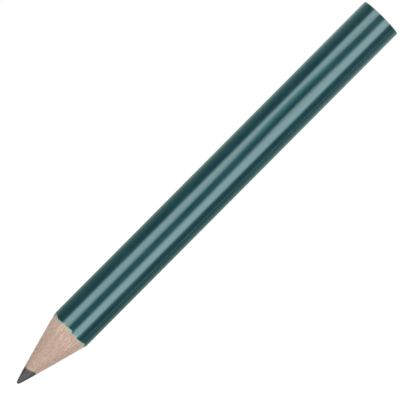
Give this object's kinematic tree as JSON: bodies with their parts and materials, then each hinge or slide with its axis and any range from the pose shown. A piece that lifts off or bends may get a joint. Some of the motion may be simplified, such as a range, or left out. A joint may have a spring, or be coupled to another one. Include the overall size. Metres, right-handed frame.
{
  "type": "graphite pencil",
  "caption": "Short round wooden pencil, sharpened to a point, with a graphite core, glossy lacquer and a plain cut rear end.",
  "frame": {"origin": "centre of the flat rear face, which it stands on", "axes": "+Z along the pencil from the rear face to the writing point, +Y from the front slat to the back slat, +X along the glue joint from its left side to its right"},
  "size_m": [0.0074, 0.0074, 0.084],
  "materials": {
    "graphite": "satin dark grey graphite and clay, with fine scratches along it",
    "glue": "dried pale brown wood glue",
    "wood": "bare, freshly cut pinkish beige softwood with fine grain along it",
    "primer": "matt pale mint undercoat",
    "colour_lacquer": "dark teal green enamel",
    "clear_lacquer": "glossy clear lacquer over the colour"
  },
  "bodies": {
    "root": {"graphite_core": "graphite", "lead_bond": "glue", "slat_front": "wood", "slat_back": "wood", "glue_film_left": "glue", "glue_film_right": "glue", "primer_coat": "primer", "colour_coat": "colour_lacquer", "clear_coat": "clear_lacquer"}
  },
  "joints": []
}
